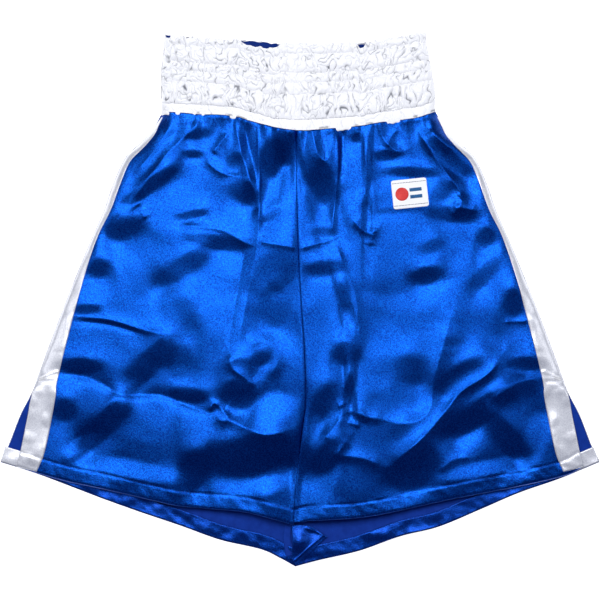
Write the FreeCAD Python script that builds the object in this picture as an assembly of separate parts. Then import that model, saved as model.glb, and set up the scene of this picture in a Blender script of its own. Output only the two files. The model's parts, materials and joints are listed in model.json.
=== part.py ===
import FreeCAD, Part

import math
import os

# Satin boxing shorts, laid out flat on their back with the air smoothed out of them.
#
# Frame: +Z up, waist towards +Y, millimetres. The origin is under the middle of the shorts, on the
# surface they lie on. The front of the shorts faces up. "right" and "left" are the wearer's, so the
# right leg is at -X. Every right piece is drawn once, and its left twin is its mirror image.
#
# The cloth is two layers. The back layer lies flat. The front layer is a low tent over it: highest
# along the rise seam, and sloping down at TENT_SLOPE to each side. Each flat piece of the front is
# an outline in plan, cut from a slab that follows the tent, so pieces that are sewn on each other
# touch face to face. Between the layers is the room that the wearer's waist and legs go into.
#
# The waistband is a tube: a gathered shell outside, four flat elastics in sewn channels, and a
# lining inside. Its edges sag towards the middle. Below the vent top each front corner hangs
# free of the back, so it can be lifted: it is a body of its own, which folds along FOLD_LINE.

# ---- driving dimensions -------------------------------------------------------------------------
HEM_SPAN = 636.0  # back hem, corner to corner
LENGTH = 566.0  # waistband's top corners to the lowest point of the back hem
WAIST_WIDTH = 294.0  # waistband lying flat and relaxed, half of its girth
BAND_HEIGHT = 90.0  # waistband, at its side
BAND_SAG_TOP = 12.0  # how far the middle of the band's top edge hangs below its ends
BAND_SAG_BOTTOM = 18.0
TENT_RIDGE = 20.0  # inside height of the front layer over the rise seam
TENT_SLOPE = 0.05  # fall of the front layer for each mm away from the rise seam
CROTCH_Y = -106.0

# Outline of the right half, in plan. Curved stretches are arcs through a start, a middle, an end.
HALF_WAIST = WAIST_WIDTH / 2
TOP_Y = LENGTH / 2
WAIST_SIDE = (-HALF_WAIST, TOP_Y - BAND_HEIGHT)
HIP_CURVE = (-186.0, 153.0)
HIP = (-208.0, 95.0)
THIGH_CURVE = (-250.0, -6.0)
VENT_TOP = (-280.0, -88.0)
FRONT_CORNER = (-300.0, -177.0)
FRONT_HEM_MIDDLE_Y = -238.5
BACK_CORNER = (-HEM_SPAN / 2, -172.0)
BACK_HEM_MIDDLE_Y = -LENGTH / 2
FOLD_HEM_X = -120.0  # where the vent corner's fold meets the front hem

# Inner edge of the white side stripe, on the front and on the back.
STRIPE_FRONT_TOP = (-140.0, 191.2)
STRIPE_FRONT_HIP_CURVE = (-180.0, 148.0)
STRIPE_FRONT_HIP = (-202.0, 95.0)
STRIPE_FRONT_THIGH_CURVE = (-237.5, -6.0)
STRIPE_FRONT_VENT = (-256.5, -83.0)
STRIPE_FRONT_HEM_X = -279.0
STRIPE_BACK_TOP = (-114.0, 185.8)
STRIPE_BACK_HIP_CURVE = (-154.0, 146.0)
STRIPE_BACK_HIP = (-178.0, 95.0)
STRIPE_BACK_THIGH_CURVE = (-227.0, -6.0)
STRIPE_BACK_VENT = (-256.0, -88.0)
STRIPE_BACK_HEM_X = -294.0

# Cloth thicknesses. The satin is drawn thicker than it is, so that it can be held and collided.
STRIPE_T = 0.6
PANEL_T = 1.0
FOLD_T = 0.8  # a hem or a seam allowance folded inside
ELASTIC_T = 0.8
LINING_T = 0.8
PUFF_T = 3.0  # how far the gathers of the shell stand out between its rows of stitching
THREAD_T = 0.35
THREAD_WIDTH = 0.8
WALL_T = 1.3  # the turned cloth that joins front and back at a side or inner leg seam
SEAM_GAP = 0.25  # half the slot that a seam's stitched edge stands in

HEM_DEPTH = 17.0
HEM_STITCH_UP = 15.5  # hem stitching above the hem edge
SEAM_ALLOWANCE = 8.0
FOLD_GAP = 0.4  # clearance across the vent corner's fold
FOLD_AXIS_ABOVE = 0.15  # fold axis above the top of the stripe
VENT_OPEN_DEG = 150.0

# Rows of stitching across the waistband, as shares of its height from the top. The elastics lie
# between them. The strip above the first row is the frill, and below the last is the waist seam.
STITCH_ROWS = (0.12, 0.33, 0.44, 0.575, 0.85)
ROW_MARGIN = 1.2  # from a row of stitching to the foot of the gathers
CROWN_MARGIN = 2.8  # from a row of stitching to the crown of the gathers
SHOULDER_SHARE = 0.55  # of the gathers' height, below their crown
SIDE_WALL_T = 2.0  # side seam of the waistband
FLAT_STRIP_PUFF = 1.0  # the waist seam's strip is pressed flatter than the gathers

LABEL_CENTRE = (117.5, 111.0)
LABEL_SIZE = (36.5, 31.0)
LABEL_TURN_DEG = 5.0
LABEL_T = 0.5
LABEL_CORNER_R = 2.0
EMBLEM_T = 0.15
BARTACK_SIZE = (7.0, 1.8)

# ---- levels -------------------------------------------------------------------------------------
BACK_STRIPE_Z = 0.0
BACK_PANEL_Z = STRIPE_T
BACK_INSIDE_Z = BACK_PANEL_Z + PANEL_T
BAND_BACK_PLATE_Z = PUFF_T
BAND_BACK_ELASTIC_Z = BAND_BACK_PLATE_Z + PANEL_T
BAND_BACK_LINING_Z = BAND_BACK_ELASTIC_Z + ELASTIC_T
STRIPE_TOP = PANEL_T + STRIPE_T  # above the tent's inside face

FAR = 400.0  # beyond every outline
HIGH = 60.0  # above every level

Vector = FreeCAD.Vector
FLAT_PLANE_NORMAL = Vector(0, 0, 1)


# ---- tools --------------------------------------------------------------------------------------
def at(point, z=0.0):
    return Vector(point[0], point[1], z)


def line(start, end):
    return Part.makeLine(at(start), at(end))


def arc(start, middle, end):
    return Part.Arc(at(start), at(middle), at(end)).toShape()


def area(edges):
    """A plan outline, from edges in order round it."""
    return Part.Face(Part.Wire(edges))


def polygon(*points):
    return area([line(a, b) for a, b in zip(points, points[1:] + points[:1])])


def plate(outline, z_low, z_high):
    """The outline, as a flat plate between two levels."""
    solid = outline.copy()
    solid.translate(Vector(0, 0, z_low))
    return solid.extrude(Vector(0, 0, z_high - z_low))


def tent_z(x):
    """Height of the front layer's inside face."""
    return TENT_RIDGE - TENT_SLOPE * abs(x)


def tent_slab(low, high, y_low=-FAR, y_high=FAR):
    """Everything from low to high above the tent's inside face. low may be a level, as ("z", mm)."""
    stations = (-FAR, 0.0, FAR)
    over = [Vector(x, y_low, tent_z(x) + high) for x in stations]
    if isinstance(low, tuple):
        under = [Vector(x, y_low, low[1]) for x in reversed(stations)]
    else:
        under = [Vector(x, y_low, tent_z(x) + low) for x in reversed(stations)]
    loop = over + under
    face = Part.Face(Part.makePolygon(loop + loop[:1]))
    return face.extrude(Vector(0, y_high - y_low, 0))


def one_solid(shape):
    """The shape as a single clean solid."""
    solids = shape.removeSplitter().Solids
    if len(solids) != 1:
        raise ValueError(f"expected one solid and found {len(solids)}")
    return solids[0]


def on_tent(outline, low, high):
    """The outline, cut from the front layer's slab between two offsets."""
    prism = plate(outline, 0.0, HIGH)
    return one_solid(prism.common(tent_slab(low, high)))


def mirrored(shape):
    return shape.mirror(Vector(0, 0, 0), Vector(1, 0, 0))


# ---- outlines of the right half -----------------------------------------------------------------
def band_y(share, x):
    """Height in plan of the waistband's line at that share of its height, at x."""
    side = TOP_Y - BAND_HEIGHT * share
    sag = BAND_SAG_TOP + (BAND_SAG_BOTTOM - BAND_SAG_TOP) * share
    radius = (HALF_WAIST**2 + sag**2) / (2 * sag)
    return side - sag + radius - math.sqrt(radius**2 - x**2)


def band_arc(share, x_from, x_to, drop=0.0):
    """An arc of the waistband, drop mm below the line at that share."""
    middle = (x_from + x_to) / 2
    ends = [(x, band_y(share, x) - drop) for x in (x_from, middle, x_to)]
    return arc(*ends)


def band_area(top, bottom, half_width, margin_top=0.0, margin_bottom=0.0):
    """A strip across the whole waistband, between two shares of its height."""
    x = half_width
    upper = band_arc(top, -x, x, margin_top)
    lower = band_arc(bottom, x, -x, -margin_bottom)
    right_side = line((x, band_y(top, x) - margin_top), (x, band_y(bottom, x) + margin_bottom))
    left_side = line((-x, band_y(bottom, x) + margin_bottom), (-x, band_y(top, x) - margin_top))
    return area([upper, right_side, lower, left_side])


def side_edge(shift=0.0):
    """The side seam from the waistband to the vent top, moved inwards by shift."""
    points = [WAIST_SIDE, HIP_CURVE, HIP, THIGH_CURVE, VENT_TOP]
    moved = [(x + shift, y) for x, y in points]
    return [arc(*moved[0:3]), arc(*moved[2:5])], moved[0], moved[-1]


def hem_y(x, corner, middle_y, up=0.0):
    """Height in plan of a straight hem from its corner to the middle, at x."""
    share = (x - corner[0]) / (0.0 - corner[0])
    return corner[1] + (middle_y - corner[1]) * share + up


def panel_area(corner, middle_y):
    """A whole front or back leg panel, from the waist to that hem."""
    edges, waist_point, vent_point = side_edge()
    inner_x = -SEAM_GAP
    waist = band_arc(1.0, inner_x, -HALF_WAIST)
    hem_end = (inner_x, hem_y(inner_x, corner, middle_y))
    inner_top = (inner_x, band_y(1.0, inner_x))
    closing = [line(vent_point, corner), line(corner, hem_end), line(hem_end, inner_top)]
    return area([waist] + edges + closing)


def vent_edge_x(y, corner):
    """Where the open edge of the vent is, at height y."""
    share = (y - VENT_TOP[1]) / (corner[1] - VENT_TOP[1])
    return VENT_TOP[0] + (corner[0] - VENT_TOP[0]) * share


def stripe_area(corner, middle_y, top, hip_curve, hip, thigh_curve, vent, hem_x):
    """The side stripe: out to the side seam and the vent's edge, in to its own inner edge."""
    edges, waist_point, vent_point = side_edge()
    inner_hem = (hem_x, hem_y(hem_x, corner, middle_y))
    inner = [line(inner_hem, vent), arc(vent, thigh_curve, hip), arc(hip, hip_curve, top)]
    waist = band_arc(1.0, top[0], waist_point[0])
    outer = edges + [line(vent_point, corner), line(corner, inner_hem)]
    return area([waist] + outer + inner)


def front_stripe_area():
    top = (STRIPE_FRONT_TOP[0], band_y(1.0, STRIPE_FRONT_TOP[0]))
    return stripe_area(FRONT_CORNER, FRONT_HEM_MIDDLE_Y, top, STRIPE_FRONT_HIP_CURVE,
                       STRIPE_FRONT_HIP, STRIPE_FRONT_THIGH_CURVE, STRIPE_FRONT_VENT,
                       STRIPE_FRONT_HEM_X)


def back_stripe_area():
    top = (STRIPE_BACK_TOP[0], band_y(1.0, STRIPE_BACK_TOP[0]))
    return stripe_area(BACK_CORNER, BACK_HEM_MIDDLE_Y, top, STRIPE_BACK_HIP_CURVE,
                       STRIPE_BACK_HIP, STRIPE_BACK_THIGH_CURVE, STRIPE_BACK_VENT,
                       STRIPE_BACK_HEM_X)


def hem_strip(corner, middle_y, inner_x, from_up, to_up):
    """A strip along a hem, between two heights above its edge, from the vent's edge inwards."""
    outer = []
    for up in (to_up, from_up):
        y = corner[1] + up
        outer.append((vent_edge_x(y, corner), y))
    low_inner = (inner_x, hem_y(inner_x, corner, middle_y, from_up))
    high_inner = (inner_x, hem_y(inner_x, corner, middle_y, to_up))
    return polygon(outer[0], outer[1], low_inner, high_inner)


def strip_along_x0(y_top, y_bottom, x_low, x_high):
    return polygon((x_low, y_top), (x_low, y_bottom), (x_high, y_bottom), (x_high, y_top))


# ---- the vent corner's fold ---------------------------------------------------------------------
def fold_points():
    """The fold line in plan, from the vent top to the front hem."""
    return VENT_TOP, (FOLD_HEM_X, hem_y(FOLD_HEM_X, FRONT_CORNER, FRONT_HEM_MIDDLE_Y))


def fold_side(shift):
    """Everything on the vent corner's side of the fold, with the fold moved outwards by shift."""
    start, end = (Vector(*p, 0) for p in fold_points())
    along = (end - start).normalize()
    outwards = Vector(along.y, -along.x, 0)
    a = start - along * FAR + outwards * shift
    b = end + along * FAR + outwards * shift
    far = outwards * FAR
    corners = [(p.x, p.y) for p in (a, b, b + far, a + far)]
    return plate(polygon(*corners), 0.0, HIGH)


def split_at_fold(solid):
    """(the part that stays, the part on the vent corner), with the fold's clearance between."""
    stays = one_solid(solid.cut(fold_side(-FOLD_GAP / 2)))
    lifts = one_solid(solid.common(fold_side(FOLD_GAP / 2)))
    return stays, lifts


# ---- waistband ----------------------------------------------------------------------------------
def channel_bars():
    """(outline, foot, crown) of the gathers, which stand in two steps in each strip of the band."""
    bounds = (0.0,) + STITCH_ROWS + (1.0,)
    for i, (top, bottom) in enumerate(zip(bounds, bounds[1:])):
        height = FLAT_STRIP_PUFF if i == len(STITCH_ROWS) else PUFF_T
        shoulder = SHOULDER_SHARE * height
        for margin, foot, crown in ((ROW_MARGIN, 0.0, shoulder), (CROWN_MARGIN, shoulder, height)):
            outline = band_area(top, bottom, HALF_WAIST, margin * (top > 0), margin * (bottom < 1))
            yield outline, foot, crown


def front_shell():
    shell = on_tent(band_area(0.0, 1.0, HALF_WAIST), 0.0, PANEL_T)
    bars = [on_tent(outline, PANEL_T + foot, PANEL_T + crown) for outline, foot, crown in channel_bars()]
    return one_solid(shell.fuse(bars))


def back_shell():
    level = BAND_BACK_PLATE_Z
    shell = plate(band_area(0.0, 1.0, HALF_WAIST), level, BAND_BACK_ELASTIC_Z)
    bars = [plate(outline, level - crown, level - foot) for outline, foot, crown in channel_bars()]
    return one_solid(shell.fuse(bars))


def elastic(top, bottom):
    """One flat elastic: a loop that runs between shell and lining, front and back."""
    outer = HALF_WAIST - SIDE_WALL_T
    outline = band_area(top, bottom, outer, ROW_MARGIN, ROW_MARGIN)
    front = on_tent(outline, -ELASTIC_T, 0.0)
    back = plate(outline, BAND_BACK_ELASTIC_Z, BAND_BACK_LINING_Z)
    strip = plate(outline, 0.0, HIGH).common(tent_slab(("z", BAND_BACK_LINING_Z), -ELASTIC_T))
    hollow = Part.makeBox(2 * (outer - ELASTIC_T), 2 * FAR, HIGH, Vector(ELASTIC_T - outer, -FAR, 0))
    return one_solid(front.fuse([back, strip.cut(hollow)]))


def waistband_side():
    """The right side seam, where the shell's front and back halves are joined."""
    whole = band_area(0.0, 1.0, HALF_WAIST)
    inner = Part.makeBox(2 * FAR, 2 * FAR, HIGH, Vector(SIDE_WALL_T - HALF_WAIST, -FAR, 0))
    block = plate(whole, 0.0, HIGH).common(tent_slab(("z", BAND_BACK_ELASTIC_Z), 0.0))
    return one_solid(block.cut(inner))


def stitch_rows():
    """Outlines of the rows of thread across the band."""
    half = THREAD_WIDTH / 2
    return [band_area(row, row, HALF_WAIST - SIDE_WALL_T, -half, -half) for row in STITCH_ROWS]


def waistband_pieces():
    lining = band_area(0.0, 1.0, HALF_WAIST - SIDE_WALL_T - ELASTIC_T)
    low = -ELASTIC_T - LINING_T
    lining_top = BAND_BACK_LINING_Z + LINING_T
    side = waistband_side()
    rows_under = BAND_BACK_PLATE_Z - THREAD_T
    pieces = {
        "waistband_front_shell": front_shell(),
        "waistband_back_shell": back_shell(),
        "waistband_front_lining": on_tent(lining, low, -ELASTIC_T),
        "waistband_back_lining": plate(lining, BAND_BACK_LINING_Z, lining_top),
        "waistband_side_right": side,
        "waistband_side_left": mirrored(side),
        "waistband_front_stitching": Part.makeCompound(
            [on_tent(row, PANEL_T, PANEL_T + THREAD_T) for row in stitch_rows()]),
        "waistband_back_stitching": Part.makeCompound(
            [plate(row, rows_under, BAND_BACK_PLATE_Z) for row in stitch_rows()]),
    }
    for number, (top, bottom) in enumerate(zip(STITCH_ROWS, STITCH_ROWS[1:]), start=1):
        pieces[f"waist_elastic_{number}"] = elastic(top, bottom)
    return pieces


# ---- legs ---------------------------------------------------------------------------------------
def front_pieces():
    """The right front panel, its stripe and its hem, each split at the vent corner's fold."""
    panel, corner = split_at_fold(on_tent(panel_area(FRONT_CORNER, FRONT_HEM_MIDDLE_Y), 0.0, PANEL_T))
    stripe, tail = split_at_fold(on_tent(front_stripe_area(), PANEL_T, STRIPE_TOP))
    turn_up = hem_strip(FRONT_CORNER, FRONT_HEM_MIDDLE_Y, -WALL_T - 2 * SEAM_GAP, 0.0, HEM_DEPTH)
    hem, corner_hem = split_at_fold(on_tent(turn_up, -FOLD_T, 0.0))
    row = hem_strip(FRONT_CORNER, FRONT_HEM_MIDDLE_Y, -WALL_T, HEM_STITCH_UP - THREAD_WIDTH,
                    HEM_STITCH_UP)
    off_stripe = Part.makeBox(FAR, FAR, HIGH, Vector(STRIPE_FRONT_HEM_X + 5.0, -FAR, 0))
    thread = on_tent(row, PANEL_T, PANEL_T + THREAD_T).common(off_stripe)
    stitching, corner_stitching = split_at_fold(thread)
    return {
        "front_panel": panel,
        "front_vent_corner": corner,
        "front_stripe": stripe,
        "front_stripe_tail": tail,
        "front_hem": hem,
        "front_corner_hem": corner_hem,
        "front_hem_stitching": stitching,
        "corner_hem_stitching": corner_stitching,
    }


def back_pieces():
    """The right back panel, lying on its stripe, with its hem turned up inside."""
    turn_up = hem_strip(BACK_CORNER, BACK_HEM_MIDDLE_Y, -SEAM_GAP, 0.0, HEM_DEPTH)
    row = hem_strip(BACK_CORNER, BACK_HEM_MIDDLE_Y, -WALL_T, HEM_STITCH_UP - THREAD_WIDTH,
                    HEM_STITCH_UP)
    hem_top = BACK_INSIDE_Z + FOLD_T
    return {
        "back_panel": plate(panel_area(BACK_CORNER, BACK_HEM_MIDDLE_Y), BACK_PANEL_Z, BACK_INSIDE_Z),
        "back_stripe": plate(back_stripe_area(), BACK_STRIPE_Z, BACK_PANEL_Z),
        "back_hem": plate(turn_up, BACK_INSIDE_Z, hem_top),
        "back_hem_stitching": plate(row, hem_top, hem_top + THREAD_T),
    }


def seam_pieces():
    """The turned cloth of the right side seam and inner leg seam, and the bar tack of the vent."""
    outer, waist_out, vent_out = side_edge()
    inner, waist_in, vent_in = side_edge(WALL_T)
    side = area(outer + [line(vent_out, vent_in)] + inner[::-1] + [line(waist_in, waist_out)])
    between = tent_slab(("z", BACK_INSIDE_Z), 0.0)
    side_wall = one_solid(plate(side, 0.0, HIGH).common(between))
    waist_block = plate(band_area(0.0, 1.0, HALF_WAIST + WALL_T), 0.0, HIGH)
    leg_end_y = hem_y(-WALL_T, FRONT_CORNER, FRONT_HEM_MIDDLE_Y) + HEM_DEPTH + 1.0
    leg = strip_along_x0(CROTCH_Y, leg_end_y, -WALL_T - SEAM_GAP, -SEAM_GAP)
    tack_x = VENT_TOP[0] + 2.5
    tack_y = VENT_TOP[1] + 3.0
    length, width = BARTACK_SIZE
    tack = polygon((tack_x, tack_y), (tack_x + length, tack_y + 0.3 * length),
                   (tack_x + length, tack_y + 0.3 * length + width), (tack_x, tack_y + width))
    return {
        "side_seam": one_solid(side_wall.cut(waist_block)),
        "inseam": one_solid(plate(leg, 0.0, HIGH).common(between)),
        "vent_bartack": on_tent(tack, STRIPE_TOP, STRIPE_TOP + THREAD_T),
    }


def rise_seams():
    """The front and back rise seams: allowances inside, and the stitched edges between panels."""
    top = band_y(1.0, 0.0)
    allowance = strip_along_x0(top - 1.0, CROTCH_Y, -SEAM_ALLOWANCE, SEAM_ALLOWANCE)
    edge = strip_along_x0(top - 1.0, CROTCH_Y, -SEAM_GAP, SEAM_GAP)
    front = on_tent(allowance, -FOLD_T, 0.0).fuse(on_tent(edge, 0.0, PANEL_T))
    back = plate(allowance, BACK_INSIDE_Z, BACK_INSIDE_Z + FOLD_T)
    back_edge = plate(edge, BACK_PANEL_Z, BACK_INSIDE_Z)
    return {
        "front_rise_seam": one_solid(front),
        "back_rise_seam": one_solid(back.fuse(back_edge)),
    }


# ---- label --------------------------------------------------------------------------------------
def label_area(x_low, x_high, y_low, y_high, corner_r=0.0):
    """A rectangle in the label's own turned axes, measured from its centre."""
    box = polygon((x_low, y_low), (x_high, y_low), (x_high, y_high), (x_low, y_high))
    if corner_r:
        solid = plate(box, 0.0, 1.0)
        upright = [e for e in solid.Edges if abs(e.Vertexes[0].Z - e.Vertexes[-1].Z) > 0.5]
        rounded = solid.makeFillet(corner_r, upright)
        box = next(f for f in rounded.Faces if f.CenterOfMass.z < 1e-6)
    box.rotate(Vector(0, 0, 0), FLAT_PLANE_NORMAL, LABEL_TURN_DEG)
    box.translate(at(LABEL_CENTRE))
    return box


def label_pieces():
    """A woven label with a plain disc and two bars on it, stitched down along two edges."""
    half_w, half_h = LABEL_SIZE[0] / 2, LABEL_SIZE[1] / 2
    patch_top = PANEL_T + LABEL_T
    emblem_top = patch_top + EMBLEM_T
    patch = label_area(-half_w, half_w, -half_h, half_h, LABEL_CORNER_R)
    stitch_y = half_h - 3.4
    rows = [label_area(-half_w + 1.5, half_w - 1.5, y - 0.4, y + 0.4) for y in (-stitch_y, stitch_y)]
    disc_centre = at((-0.45 * half_w, 0.0))
    disc = Part.Face(Part.Wire(Part.makeCircle(0.36 * half_h, disc_centre)))
    disc.rotate(Vector(0, 0, 0), FLAT_PLANE_NORMAL, LABEL_TURN_DEG)
    disc.translate(at(LABEL_CENTRE))
    bars = [label_area(0.0, 0.68 * half_w, y, y + 0.2 * half_h) for y in (-0.3 * half_h, 0.1 * half_h)]
    return {
        "label_patch": on_tent(patch, PANEL_T, patch_top),
        "label_emblem_disc": on_tent(disc, patch_top, emblem_top),
        "label_emblem_bars": Part.makeCompound([on_tent(b, patch_top, emblem_top) for b in bars]),
        "label_stitching": Part.makeCompound(
            [on_tent(r, patch_top, patch_top + THREAD_T) for r in rows]),
    }


# ---- the whole object ---------------------------------------------------------------------------
def both_sides(pieces, joined=()):
    """Each right piece with its mirrored left twin. Those in joined share one node."""
    found = {}
    for name, shape in pieces.items():
        if name in joined:
            found[name] = Part.makeCompound([shape, mirrored(shape)])
        else:
            found[f"{name}_right"] = shape
            found[f"{name}_left"] = mirrored(shape)
    return found


def all_pieces():
    joined = ("front_hem_stitching", "back_hem_stitching")
    pieces = waistband_pieces()
    pieces.update(both_sides(front_pieces(), joined))
    pieces.update(both_sides(back_pieces(), joined))
    pieces.update(both_sides(seam_pieces()))
    pieces.update(rise_seams())
    pieces.update(label_pieces())
    return pieces


def report_fold():
    """Prints the right fold's axis and a point on it, for the record's joints."""
    start, end = fold_points()
    above = STRIPE_TOP + FOLD_AXIS_ABOVE
    a = Vector(start[0], start[1], tent_z(start[0]) + above)
    b = Vector(end[0], end[1], tent_z(end[0]) + above)
    print("fold line", tuple(a), tuple(b), "opens to", VENT_OPEN_DEG)


def main():
    os.makedirs("parts", exist_ok=True)
    for name, shape in sorted(all_pieces().items()):
        if not shape.isValid():
            raise ValueError(f"{name} is not a valid shape")
        shape.exportStep(f"parts/{name}.step")
        box = shape.BoundBox
        low, high = (box.XMin, box.YMin, box.ZMin), (box.XMax, box.YMax, box.ZMax)
        spans = " ".join(f"{a:.1f}..{b:.1f}" for a, b in zip(low, high))
        print(f"{name}: {len(shape.Solids)} solid(s), {spans}, {shape.Volume / 1000:.2f} cm3")
    report_fold()


main()
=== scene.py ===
import json
import math

import bpy
import numpy as np
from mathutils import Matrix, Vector


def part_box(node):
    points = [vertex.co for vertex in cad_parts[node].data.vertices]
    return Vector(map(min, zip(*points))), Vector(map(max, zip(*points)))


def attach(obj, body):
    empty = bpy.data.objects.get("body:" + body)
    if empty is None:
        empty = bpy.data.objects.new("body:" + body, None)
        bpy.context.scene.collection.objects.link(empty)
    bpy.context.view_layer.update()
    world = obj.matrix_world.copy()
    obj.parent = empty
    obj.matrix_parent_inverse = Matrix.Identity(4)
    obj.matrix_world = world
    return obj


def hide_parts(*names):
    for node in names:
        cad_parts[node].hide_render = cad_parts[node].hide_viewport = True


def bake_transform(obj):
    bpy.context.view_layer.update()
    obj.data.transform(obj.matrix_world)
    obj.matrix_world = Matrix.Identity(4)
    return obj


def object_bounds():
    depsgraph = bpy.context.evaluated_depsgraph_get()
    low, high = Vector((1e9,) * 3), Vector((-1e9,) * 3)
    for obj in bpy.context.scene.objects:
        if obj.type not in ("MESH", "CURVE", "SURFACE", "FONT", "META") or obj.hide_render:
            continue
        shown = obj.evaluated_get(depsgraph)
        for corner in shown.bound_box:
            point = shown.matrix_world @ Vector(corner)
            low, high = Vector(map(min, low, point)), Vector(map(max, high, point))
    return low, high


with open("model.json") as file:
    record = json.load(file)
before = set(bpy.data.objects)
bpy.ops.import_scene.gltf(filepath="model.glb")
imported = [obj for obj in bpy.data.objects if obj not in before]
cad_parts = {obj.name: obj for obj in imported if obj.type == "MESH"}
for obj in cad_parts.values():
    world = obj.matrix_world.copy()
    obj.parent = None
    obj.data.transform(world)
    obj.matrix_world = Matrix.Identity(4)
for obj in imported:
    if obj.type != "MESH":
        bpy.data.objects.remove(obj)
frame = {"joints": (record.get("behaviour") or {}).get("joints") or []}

# Satin boxing shorts laid flat on their back, front up, seen from straight above.
#
# Lengths are millimetres in the row frame (+Z up, +Y towards the waist, the wearer's right leg at
# -X), and turn into metres only when a mesh is made. The cloth is a set of separate thin sheets.
# Everything on the front lies on one surface, front_z(x, y): a low tent over the back layer, which
# rounds down to it at the side seams, with the folds and dents of the lists below on top.

CAD_BOX = [list(corner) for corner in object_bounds()]
MM = 0.001


def box_mm(node):
    low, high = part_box(node)
    return [v / MM for v in low], [v / MM for v in high]


# ---- sizes, from the frame ----
BAND_LOW, BAND_HIGH = box_mm("waistband_front_shell")
HALF_WAIST = BAND_HIGH[0]
TOP_Y = BAND_HIGH[1]
BAND_HEIGHT = TOP_Y - box_mm("waistband_side_right")[0][1]
VENT_TOP = tuple(box_mm("side_seam_right")[0][0:2])
CORNER_RISE = 17.0  # how far the box of a hem reaches above the hem's outer corner
FRONT_CORNER = (
    box_mm("front_stripe_tail_right")[0][0],
    box_mm("front_corner_hem_right")[1][1] - CORNER_RISE,
)
BACK_CORNER = (box_mm("back_panel_right")[0][0], box_mm("back_hem_right")[1][1] - CORNER_RISE)
BACK_LOWEST = box_mm("back_panel_right")[0][1]
CROTCH_Y = box_mm("inseam_right")[1][1]
RIDGE_Z = box_mm("front_panel_right")[1][2]
EDGE_Z = box_mm("front_stripe_right")[0][2]
TENT_SLOPE = (RIDGE_Z - EDGE_Z) / -VENT_TOP[0]
FOLD = {j["name"]: j for j in frame["joints"]}

STITCH_ROWS = (0.12, 0.33, 0.44, 0.575, 0.85)  # shares of the waistband's height, from its top
HEM_DEPTH = 16.0
CLOTH_T = 0.35  # thicknesses
TAPE_T = 0.28
BAND_T = 0.4
SEAM_T = 0.5
TAPE_LIFT = 0.35  # the stripes' face over the front's
TAPE_RELIEF = 0.6  # the share of the tape's creases that is built
STEP = 1.25  # grid spacing of the cloth
SIDES = ("right", "left")

# ---- small numeric tools ----


def smooth(edge0, edge1, v):
    t = np.clip((np.asarray(v, float) - edge0) / (edge1 - edge0), 0, 1)
    return t * t * (3 - 2 * t)


def bell(distance, width):
    """1 at no distance, fading away smoothly on both sides."""
    return np.exp(-((distance / width) ** 2))


def rolled(share):
    """The height of a rolled edge, from 0 at its side to 1 at that share of 1 and more."""
    return np.sqrt(1 - (1 - np.clip(share, 0, 1)) ** 2.2)


def noise(x, y, seed=0):
    """Gradient noise from about -1 to 1, with one lump for each unit of x and y."""
    x, y = np.broadcast_arrays(np.asarray(x, float), np.asarray(y, float))
    xi, yi = np.floor(x).astype(np.int64), np.floor(y).astype(np.int64)
    fx, fy = x - xi, y - yi
    u, v = (t * t * t * (t * (t * 6 - 15) + 10) for t in (fx, fy))

    def corner(i, j):
        h = ((xi + i) * 374761393 + (yi + j) * 668265263 + seed * 974634777) & 0xFFFFFFFF
        h = ((h ^ (h >> 13)) * 1274126177) & 0xFFFFFFFF
        angle = ((h ^ (h >> 16)) & 0xFFFF) * (2 * math.pi / 65536)
        return np.cos(angle) * (fx - i) + np.sin(angle) * (fy - j)

    low = corner(0, 0) * (1 - u) + corner(1, 0) * u
    high = corner(0, 1) * (1 - u) + corner(1, 1) * u
    return 1.5 * (low * (1 - v) + high * v)


def steps(line):
    """The length of each step of a line."""
    return np.linalg.norm(np.diff(np.array(line, float), axis=0), axis=1)


def run_along(line):
    """How far along the line each point is."""
    return np.concatenate([[0], np.cumsum(steps(line))])


def directions(line):
    """(along, across) at each point of a line, each 1 long. across is to the left."""
    along = np.gradient(line, axis=0)
    along /= np.linalg.norm(along, axis=1)[:, None]
    return along, np.column_stack([-along[:, 1], along[:, 0]])


def spline(points, count):
    """count points at even distances along a smooth line through the given ones."""
    p = np.array(points, float)
    if len(p) == 2:
        return p[0] + (p[1] - p[0]) * np.linspace(0, 1, count)[:, None]
    ends = np.vstack([2 * p[0] - p[1], p, 2 * p[-1] - p[-2]])
    t = np.linspace(0, 1, 12, endpoint=False)[:, None]
    pieces = []
    for a, b, c, d in zip(ends, ends[1:], ends[2:], ends[3:]):
        tangent0, tangent1 = (c - a) / 2, (d - b) / 2
        pieces.append(
            b * (2 * t**3 - 3 * t**2 + 1) + c * (3 * t**2 - 2 * t**3)
            + tangent0 * (t**3 - 2 * t**2 + t) + tangent1 * (t**3 - t**2)
        )
    dense = np.vstack(pieces + [p[-1:]])
    run = run_along(dense)
    at = np.linspace(0, run[-1], count)
    return np.column_stack([np.interp(at, run, dense[:, k]) for k in range(p.shape[1])])


def from_line(line, x, y):
    """(share of the way along, distance) of each point from a line. Distance is positive on its left."""
    best = np.full(np.shape(x), 1e9)
    where = np.zeros(np.shape(x))
    side = np.ones(np.shape(x))
    run = run_along(line)
    for k, (a, b) in enumerate(zip(line, line[1:])):
        dx, dy = b - a
        length2 = dx * dx + dy * dy + 1e-12
        t = np.clip(((x - a[0]) * dx + (y - a[1]) * dy) / length2, 0, 1)
        ex, ey = x - a[0] - t * dx, y - a[1] - t * dy
        d2 = ex * ex + ey * ey
        nearer = d2 < best
        best = np.where(nearer, d2, best)
        where = np.where(nearer, (run[k] + t * (run[k + 1] - run[k])) / run[-1], where)
        side = np.where(nearer, np.where(dx * ey - dy * ex >= 0, 1.0, -1.0), side)
    return where, side * np.sqrt(best)


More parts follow.
